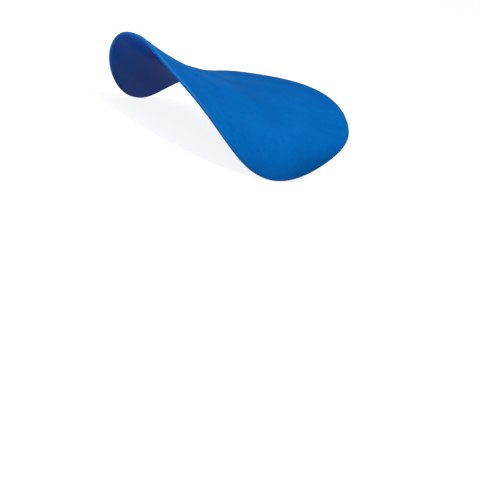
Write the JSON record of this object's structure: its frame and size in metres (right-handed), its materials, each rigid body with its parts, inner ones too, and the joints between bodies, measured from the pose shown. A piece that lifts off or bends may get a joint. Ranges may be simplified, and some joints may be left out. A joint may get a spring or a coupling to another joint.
{
  "type": "jar opener",
  "caption": "Round flexible rubber grip sheet for twisting lids, flexed into an arch with both sides bent down as when held over a jar lid.",
  "frame": {"origin": "middle of the pressed flat patch on the sheet's underside, where it bears on a jar lid", "axes": "+Z out of the lid through the sheet towards the palm, -Y towards the raised front edge by the open end of the arch, and +X towards the side that the thumb bends down"},
  "size_m": [0.11, 0.1254, 0.038],
  "materials": {
    "blue_rubber": "smooth satin"
  },
  "bodies": {
    "root": {"grip_sheet": "blue_rubber"}
  },
  "joints": []
}
